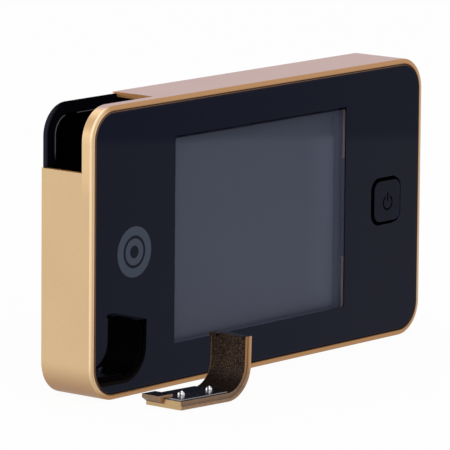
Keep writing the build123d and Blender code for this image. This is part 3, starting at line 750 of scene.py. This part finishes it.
screen = Finish("screen_film", Specular_IOR_Level=0.1)
screen_foot_z = box_mm("lcd_panel")[0].z
mirrored_floor = below_horizon(screen)
# The grey towards the foot is painted lighter to make up for the shade there.
low_grey = screen.blend(screen.z.step(SCREEN_MIDDLE_Z, screen_foot_z), SCREEN_MIDDLE, SCREEN_FOOT)
lit = screen.layers(
    SCREEN_HIGH,
    (mirrored_floor, low_grey),
    (0.9 * screen.x.step(*SCREEN_SHADED) * mirrored_floor, SCREEN_RIGHT),
)
# The border's right end and foot are painted lighter to make up for shade.
border = screen.layers(
    BORDER, (screen.x.step(*BORDER_SHADED), BORDER_RIGHT), (screen.z.step(*BORDER_FOOT), BORDER_LOW)
)
in_lit = screen.x.step(LIT_RIGHT + LIT_EDGE, LIT_RIGHT - LIT_EDGE)
in_lit = in_lit * screen.z.step(LIT_FOOT - LIT_EDGE, LIT_FOOT + LIT_EDGE)
screen.set("Base Color", screen.blend(in_lit, border, lit))
screen.set("Roughness", 0.42 + 0.08 * screen.noise(7.0))
screen.bump(screen.noise(14.0), 0.003)
screen.cover("lcd_panel")

# %% [markdown]
# ## The key
#
# The key is a moulding in the glass's black. Its flat face mirrors the room as the glass
# does, and its rounded edge drops away to black. A coat on the face alone, with a painted
# bluish reflection in the face's colour and painted black on the edge, gives that. The
# sign is the plain one for power, a ring with a bar in the gap at its top, pressed into
# the face, and its strokes take the edge's painted black. The gap is a wedge, so it reads
# how far aside a point lies for its height.

# %% Key and its sign
POWER_PLACE = (0.3, -0.5)
POWER_RADIUS = 1.7
POWER_STROKE = (0.24, 0.16)
POWER_BAR = ((0.3, 0.4), (2.55, 2.45))
POWER_GAP = math.tan(math.radians(32.0))
POWER_GAP_EDGE = (-0.1, 0.0)
KEY_EDGE = (0.0004, 0.0004, 0.0005)
KEY_FACE = (0.0014, 0.0028, 0.0125)
KEY_COAT = 0.72
PRESSED_IN = 0.05

key_low, key_high = box_mm("power_button")
key_middle = (key_low + key_high) / 2
key = Finish("key_black", Specular_IOR_Level=0.0, Coat_IOR=1.2, Coat_Roughness=0.04)
power_x = key.x - (key_middle.x + POWER_PLACE[0])
power_z = key.z - (key_middle.z + POWER_PLACE[1])
ring = abs(power_x.reach(power_z) - POWER_RADIUS).step(*POWER_STROKE)
ring = ring * (abs(power_x) - POWER_GAP * power_z).step(*POWER_GAP_EDGE)
bar = abs(power_x).step(*POWER_STROKE) * power_z.between(*POWER_BAR)
key_face = key.y.step(key_low.y + 0.06, key_low.y + 0.02)
power_sign = ring.most(bar) * key_face
plain_face = key_face * (1.0 - power_sign)
# The face's blue is a painted reflection of the room, and the edge and the strokes are painted black.
key.set("Base Color", key.blend(plain_face, KEY_EDGE, KEY_FACE))
key.set("Coat Weight", KEY_COAT * plain_face)
key.set("Roughness", 0.3 + 0.1 * key.noise(4.0))
key.bump(key.noise(10.0) * 0.1 - power_sign, PRESSED_IN)
key.cover("power_button")

# %% [markdown]
# ## The back cover
#
# The cover is painted deep black in the battery chamber, as painted shade, because the
# chamber mirrors only its own dark walls, and it is finely eroded on the plate that faces
# the door. Which one shows depends on the depth alone. The plate's ledge and edge are
# painted near black as well, darker than the plate's own black, as painted shade. In the
# open corner its rear edge catches the light as a painted grey band, with a painted
# highlight along the foot of the plate's inner face, broken at the left cell.

# %% Back cover
CHAMBER_SHADE = (0.0002, 0.0002, 0.0003)
PLATE_BLACK = (0.016, 0.016, 0.018)
EDGE_SHADE = (0.003, 0.003, 0.005)
BAND_GREY = (0.021, 0.021, 0.032)
FOOT_HIGHLIGHT = (0.09, 0.09, 0.10)
BACK_DEPTH = (7.3, 7.6)
EDGE_DEPTH = (6.5, 6.6)
BAND_DEPTH = (6.4, 6.5)
BAND_INSET = (1.1, 0.7)
BAND_LEFT = (-56.0, -60.0)
LINE_DEPTH = ((6.2, 6.3), (6.5, 6.4))
LINE_INSET = ((2.6, 2.8), (3.7, 3.5))
LINE_GAP = ((-55.6, -54.9), (-50.7, -51.4))
LINE_HEIGHT = (54.8, 58.0)

cover = Finish("cover_black", Specular_IOR_Level=0.0)
cover_inset = from_outline(cover)
cover_grain = cover.noise(4.5, detail=3.0)
on_back = cover.y.step(*BACK_DEPTH)
on_band = cover.y.step(*BAND_DEPTH) * cover_inset.step(*BAND_INSET) * cover.x.step(*BAND_LEFT)
on_foot_highlight = cover.y.between(*LINE_DEPTH) * cover_inset.between(*LINE_INSET)
on_foot_highlight = on_foot_highlight * (1.0 - cover.x.between(*LINE_GAP)) * cover.z.step(*LINE_HEIGHT)
# Painted shade in the chamber and on the ledge and edge, a painted grey band and a painted highlight
# along the foot.
cover_colour = cover.layers(
    CHAMBER_SHADE,
    (on_back, PLATE_BLACK),
    (cover.y.step(*EDGE_DEPTH) * (1.0 - on_back), EDGE_SHADE),
    (on_band * (1.0 - on_back), BAND_GREY),
    (on_foot_highlight, FOOT_HIGHLIGHT),
)
cover.set("Base Color", cover_colour)
cover.set("Roughness", 0.25 + 0.3 * on_back + 0.05 * cover_grain)
cover.bump(cover_grain * on_back, 0.02)
cover.cover("back_cover")

# %% [markdown]
# ## Black mouldings
#
# Black plastic, rubber and chip resin differ in how deep their grain is and how rough it
# leaves them, and hardly in colour. One function with those two values serves them all.

# %% Black mouldings
LIGHTER = 1.3


def black_moulding(name, colour, roughness, grain_mm=0.01):
    """A black moulding with an eroded grain."""
    black = Finish(name)
    grain = black.noise(5.0, detail=3.0)
    lighter = tuple(c * LIGHTER for c in colour)
    black.set("Base Color", black.blend(black.noise(0.3), colour, lighter))
    black.set("Roughness", roughness + 0.1 * grain)
    black.bump(grain, grain_mm)
    return black


black_moulding("chassis_black", (0.02, 0.02, 0.022), 0.45).cover("inner_chassis")
black_moulding("tape_black", (0.014, 0.014, 0.016), 0.85, 0.05).cover("glass_tape")
black_moulding("plunger_black", (0.015, 0.015, 0.016), 0.35).cover("switch_plunger")
black_moulding("chip_black", (0.02, 0.02, 0.022), 0.5).cover("processor_chip", "board_chips")
black_moulding("coil_grey", (0.11, 0.11, 0.115), 0.6).cover("power_coils")

# %% [markdown]
# ## Pale mouldings and film
#
# What lies inside shows only through the cable opening, but each piece still has its own
# finish: the white tray, the ivory sockets and the amber ribbon.

# %% Pale mouldings and film
DARKER = 0.86


def plain_moulding(name, colour, roughness):
    """A moulding or film in one colour that drifts a little."""
    piece = Finish(name)
    piece.set("Base Color", piece.blend(piece.noise(0.4), colour, tuple(c * DARKER for c in colour)))
    piece.set("Roughness", roughness + 0.1 * piece.noise(3.0))
    piece.bump(piece.noise(6.0), 0.006)
    return piece


plain_moulding("tray_white", (0.75, 0.75, 0.73), 0.5).cover("backlight_tray")
plain_moulding("socket_ivory", (0.62, 0.56, 0.42), 0.4).cover("display_socket", "camera_socket")
plain_moulding("ribbon_amber", (0.42, 0.17, 0.03), 0.3).cover("lcd_ribbon")

# %% [markdown]
# ## The gasket round the window
#
# Between the print and the screen sits a thin foam frame. Only its right wall shows, as
# a narrow strip beside the screen's border, and the strips of tape that hold its ends
# catch the light, as a painted lighter grey. They are marked by their heights on that
# wall. The foam and the tape take the border's greys, which are painted lighter at the
# right end and the foot to make up for shade there.

# %% Gasket and its tape
TAPE_SPANS = ((9.9, 22.2), (46.6, 58.5))
TAPE_LIGHT = shade(166, 150, 153)
TAPE_EDGE = 0.1
FOAM_FOOT = (9.8, 9.6)
RIGHT_WALL = (33.0, 33.2)

gasket = Finish("foam_black", Specular_IOR_Level=0.1)
# The wall takes the border's grey that is painted lighter against shade, and the taped spans a painted
# lighter grey.
wall = BORDER_RIGHT
for foot_z, top_z in TAPE_SPANS:
    taped = gasket.z.between((foot_z - TAPE_EDGE, foot_z), (top_z + TAPE_EDGE, top_z))
    wall = gasket.blend(taped, wall, TAPE_LIGHT)
# The foam's foot takes the border's grey that is painted lighter against shade.
foam = gasket.blend(gasket.z.step(*FOAM_FOOT), BORDER, BORDER_LOW)
gasket.set("Base Color", gasket.blend(gasket.x.step(*RIGHT_WALL), foam, wall))
gasket.set("Roughness", 0.7 + 0.2 * gasket.noise(3.0))
gasket.bump(gasket.noise(5.0), 0.01)
gasket.cover("lcd_gasket")

tape = Finish("tape_grey", Specular_IOR_Level=0.1)
# The tape takes the border's grey that is painted lighter against shade.
tape.set("Base Color", tape.toned(tape.noise(0.4), BORDER_RIGHT, 0.05))
tape.set("Roughness", 0.5 + 0.1 * tape.noise(3.0))
tape.cover("gasket_tabs")

# %% [markdown]
# ## The main board
#
# A board's solder mask shows the tracks under it as slightly raised, slightly lighter
# lines. A brick pattern of long, low bricks gives such a field of parallel lines without
# drawing any real circuit.

# %% Board
TRACKS = {
    "Scale": MM_IN_A_METRE, "Color1": (1.0, 1.0, 1.0, 1.0), "Color2": (0.6, 0.6, 0.6, 1.0),
    "Mortar": (0.0, 0.0, 0.0, 1.0), "Mortar Size": 0.12, "Brick Width": 3.4, "Row Height": 1.1,
}
MASK_GREEN = (0.006, 0.06, 0.03)
TRACK_GREEN = (0.012, 0.11, 0.055)

board = Finish("board_green")
layout = {"offset": 0.35, "squash": 0.7}
tracks = board.add("ShaderNodeTexBrick", layout, {"Vector": board.place, **TRACKS})
board.set("Base Color", board.blend(tracks, MASK_GREEN, TRACK_GREEN))
board.set("Roughness", 0.32 + 0.12 * board.noise(2.0))
board.bump(board.noise(3.0), 0.01)
board.cover("main_board")

# %% [markdown]
# ## Bright metal
#
# Rolled sheet shows fine lines along the way it was rolled, and formed pieces show a
# soft unevenness. Both are a stretched noise on the roughness and a very low bump.

# %% Metals
LINE_SHADE = 0.85


def bright_metal(name, colour, roughness, stretch=(1.0, 1.0, 1.0)):
    """Bare or plated metal with rolling lines."""
    metal = Finish(name, Metallic=1.0)
    lines = metal.noise(2.0, detail=4.0, stretch=stretch)
    metal.set("Base Color", metal.blend(lines, colour, tuple(c * LINE_SHADE for c in colour)))
    metal.set("Roughness", roughness + 0.12 * lines)
    metal.bump(lines, 0.004)
    return metal


bright_metal("contact_nickel", (0.62, 0.60, 0.55), 0.2).cover("contact_spring", "contact_leaf")
bright_metal("switch_steel", (0.55, 0.55, 0.54), 0.3, (1.0, 1.0, 8.0)).cover("tact_switch")

# %% [markdown]
# ## The contact plate and its rivets
#
# The plate in the cap is polished, and its front edge is dark at the foot, where it
# mirrors the cap's inside. Each rivet's dome has a dark core, because there it mirrors
# the dark room behind the camera. The core is a soft line that stands upright as the
# camera sees it, so it reads the distance from the rivet's middle across that view. The
# screws' metals are plain: black oxide on the outer ones and zinc inside.

# %% Contact plate and rivets
PLATE = (0.24, 0.24, 0.26)
PLATE_FOOT = (0.02, 0.014, 0.012)
CHROME = (0.68, 0.68, 0.70)
CHROME_CORE = (0.02, 0.016, 0.016)
RIVET_RADIUS = 1.05
CORE_ASIDE = 0.1
CORE_WIDTH = (0.3, 0.14)
PLATE_EDGE = (0.14, 0.22)

plate_low, plate_high = box_mm("bridge_plate")
plate = bright_metal("bridge_steel", PLATE, 0.12, (0.4, 6.0, 1.0))
below_top = plate_high.z - plate.z - (plate.x - plate_low.x) * math.tan(CAP_LEAN)
plate_foot = plate.y.step(plate_low.y + 0.05, plate_low.y + 0.02) * below_top.step(*PLATE_EDGE)
plate.set("Base Color", plate.blend(plate_foot, PLATE, PLATE_FOOT))
plate.cover("bridge_plate")

rivet_low, rivet_high = box_mm("contact_rivets")
rivet = bright_metal("rivet_chrome", CHROME, 0.08)
behind = (rivet.y - (rivet_low.y + rivet_high.y) / 2) * math.sin(CAMERA_AZIMUTH)
first, last = (
    abs((rivet.x - middle_x) * math.cos(CAMERA_AZIMUTH) + behind + CORE_ASIDE)
    for middle_x in (rivet_low.x + RIVET_RADIUS, rivet_high.x - RIVET_RADIUS)
)
core = first.least(last).step(*CORE_WIDTH)
rivet.set("Base Color", rivet.blend(0.9 * core, CHROME, CHROME_CORE))
METALS = {
    "screw_black": bright_metal("screw_black", (0.05, 0.05, 0.055), 0.35),
    "screw_steel": bright_metal("screw_steel", (0.52, 0.52, 0.53), 0.3),
    "rivet_chrome": rivet,
}
print("metals for fasteners:", ", ".join(METALS))

# %% [markdown]
# ## A tree that makes fasteners
#
# Twelve screws and two rivets are the same form in different sizes: a domed head on a
# shank, and on a screw a cross recess in the head. One Geometry Nodes tree makes that
# form from its sizes and puts it on every place. The head is where a squashed ball and a
# cylinder overlap, so it is closed below, and the recess is cut out with two crossed
# boxes. The tree works in millimetres, because cutting solids is more exact on sizes near
# 1, and shrinks the result at the end.

# %% The fastener tree
SCREW = {
    "Dome Radius": 2.3, "Dome Height": 1.2, "Head Radius": 1.9,
    "Recess Length": 2.1, "Recess Width": 0.5, "Recess Depth": 0.6, "Shank Radius": 0.95,
}
RIVET = {
    "Dome Radius": RIVET_RADIUS, "Dome Height": RIVET_RADIUS, "Head Radius": 1.04,
    "Recess Length": 0.1, "Recess Width": 0.1, "Recess Depth": 0.001, "Shank Radius": 0.5,
}
HEAD_SIDES = 48
DOME_RINGS = 24
SHANK_SIDES = 24


def fastener_tree():
    """A tree that puts a fastener, standing along Z, on each vertex and turns it."""
    tree = bpy.data.node_groups.new("fasteners", "GeometryNodeTree")
    face = tree.interface
    face.new_socket("Places", in_out="INPUT", socket_type="NodeSocketGeometry")
    for size in (*SCREW, "Shank Length"):
        face.new_socket(size, in_out="INPUT", socket_type="NodeSocketFloat")
    face.new_socket("Turn", in_out="INPUT", socket_type="NodeSocketVector")
    face.new_socket("Finish", in_out="INPUT", socket_type="NodeSocketMaterial")
    face.new_socket("Fasteners", in_out="OUTPUT", socket_type="NodeSocketGeometry")
    given = tree.nodes.new("NodeGroupInput").outputs

    def add(kind, inputs, **settings):
        node = tree.nodes.new(kind)
        for setting, value in settings.items():
            setattr(node, setting, value)
        for key, value in inputs.items():
            for one in value if isinstance(value, list) else [value]:
                if isinstance(one, bpy.types.NodeSocket):
                    tree.links.new(one, node.inputs[key])
                else:
                    node.inputs[key].default_value = one
        return node.outputs[0]

    def vector(x, y, z):
        return add("ShaderNodeCombineXYZ", {"X": x, "Y": y, "Z": z})

    def times(value, factor):
        return add("ShaderNodeMath", {0: value, 1: factor}, operation="MULTIPLY")

    def raised(mesh, height):
        place = vector(0.0, 0.0, height)
        return add("GeometryNodeTransform", {"Geometry": mesh, "Translation": place})

    def cylinder(sides, radius, length):
        return add("GeometryNodeMeshCylinder", {"Vertices": sides, "Radius": radius, "Depth": length})

    dome_height = given["Dome Height"]
    ball = add("GeometryNodeMeshUVSphere", {"Segments": HEAD_SIDES, "Rings": DOME_RINGS, "Radius": 1.0})
    squash = vector(given["Dome Radius"], given["Dome Radius"], dome_height)
    dome = add("GeometryNodeTransform", {"Geometry": ball, "Scale": squash})
    post = raised(cylinder(HEAD_SIDES, given["Head Radius"], dome_height), times(dome_height, 0.5))
    head = add("GeometryNodeMeshBoolean", {"Mesh 2": [dome, post]}, operation="INTERSECT")
    bars = []
    for length, width in (("Recess Length", "Recess Width"), ("Recess Width", "Recess Length")):
        size = vector(given[length], given[width], times(given["Recess Depth"], 2.0))
        bars.append(raised(add("GeometryNodeMeshCube", {"Size": size}), dome_height))
    head = add("GeometryNodeMeshBoolean", {"Mesh 1": head, "Mesh 2": bars}, operation="DIFFERENCE")
    shank = cylinder(SHANK_SIDES, given["Shank Radius"], given["Shank Length"])
    shank = raised(shank, times(given["Shank Length"], -0.5))
    fastener = add("GeometryNodeJoinGeometry", {"Geometry": [head, shank]})
    in_metres = (1.0 / MM_IN_A_METRE,) * 3
    fastener = add("GeometryNodeTransform", {"Geometry": fastener, "Scale": in_metres})
    on_places = {"Points": given["Places"], "Instance": fastener, "Rotation": given["Turn"]}
    placed = add("GeometryNodeInstanceOnPoints", on_places)
    real = add("GeometryNodeRealizeInstances", {"Geometry": placed})
    painted = add("GeometryNodeSetMaterial", {"Geometry": real, "Material": given["Finish"]})
    tree.links.new(painted, tree.nodes.new("NodeGroupOutput").inputs[0])
    return tree


fasteners = fastener_tree()
print("fastener tree with", len(fasteners.nodes), "nodes")

# %% [markdown]
# ## Places for the fasteners
#
# The places come from the CAD solids. A node's mesh is loose triangles, so a merged copy
# shows which of them hang together, and each such group is one screw or rivet. A fastener
# takes its place and its length from the box of its group. The boxes are sorted, because
# the groups are found in no fixed order.

# %% Boxes of the solids in a node
MERGE_DISTANCE = 1e-6


def solids_mm(node):
    """The lowest and highest corner of each solid in a CAD node, in millimetres."""
    merged = bmesh.new()
    merged.from_mesh(nodes[node].data)
    bmesh.ops.remove_doubles(merged, verts=merged.verts, dist=MERGE_DISTANCE)
    left = set(merged.verts)
    found = []
    while left:
        group, edge = set(), {left.pop()}
        while edge:
            group |= edge
            edge = {e.other_vert(v) for v in edge for e in v.link_edges} - group
        left -= group
        corners = [v.co * MM_IN_A_METRE for v in group]
        found.append([Vector([pick(c[i] for c in corners) for i in range(3)]) for pick in (min, max)])
    merged.free()
    return sorted(found, key=lambda box: tuple(box[0]))


solids = {node: solids_mm(node) for node in nodes if node.endswith(("_screws", "_rivets"))}
print("solids:", {node: len(boxes) for node, boxes in solids.items()})

# %% [markdown]
# ## Screws and rivets on their places
#
# The tree grows on a mesh of bare points, one on each place, and its result is made a
# plain mesh, so that it exports. Edges sharper than a third of a right angle are kept
# sharp. Each new piece stands for the CAD node whose places it took and rides on its body.

# %% Screws and rivets on their places
SHARP = math.radians(30.0)
FACING_BACK = (math.radians(-90.0), 0.0, 0.0)
LEANING_UP = (0.0, CAP_LEAN, 0.0)
SHANK_GAP = 0.03


def fasten(name, node, body, finish, seats, turn, sizes_mm):
    """Put fasteners on their seats, as one plain mesh in place of a CAD node."""
    mesh = bpy.data.meshes.new(name)
    mesh.from_pydata([seat / MM_IN_A_METRE for seat in seats], [], [])
    piece = bpy.data.objects.new(name, mesh)
    bpy.context.scene.collection.objects.link(piece)
    grow = piece.modifiers.new("fasteners", "NODES")
    grow.node_group = fasteners
    values = {**sizes_mm, "Turn": turn, "Finish": METALS[finish].material}
    for item in fasteners.interface.items_tree:
        if item.name in values:
            grow[item.identifier] = values[item.name]
    seen = piece.evaluated_get(bpy.context.evaluated_depsgraph_get())
    piece.data = bpy.data.meshes.new_from_object(seen)
    piece.modifiers.remove(grow)
    bpy.context.view_layer.update()
    piece.data.shade_smooth()
    piece.data.set_sharp_from_angle(angle=SHARP)
    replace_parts(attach(piece, body), node)
    print(name, "on", len(seats), "seats,", len(piece.data.polygons), "faces")


for kind, finish in (("housing", "screw_black"), ("chassis", "screw_steel"), ("board", "screw_steel")):
    boxes = solids[kind + "_screws"]
    head = SCREW["Dome Height"]
    seats = [Vector(((a.x + b.x) / 2, b.y - head, (a.z + b.z) / 2)) for a, b in boxes]
    sizes = {**SCREW, "Shank Length": boxes[0][1].y - boxes[0][0].y - head}
    fasten(kind + "_screw_heads", kind + "_screws", "monitor", finish, seats, FACING_BACK, sizes)

boxes = solids["contact_rivets"]
head = RIVET["Dome Height"]
seats = [Vector(((a.x + b.x) / 2, (a.y + b.y) / 2, b.z - head)) for a, b in boxes]
sizes = {**RIVET, "Shank Length": boxes[0][1].z - boxes[0][0].z - head - SHANK_GAP}
fasten("contact_domes", "contact_rivets", "corner_cover", "rivet_chrome", seats, LEANING_UP, sizes)
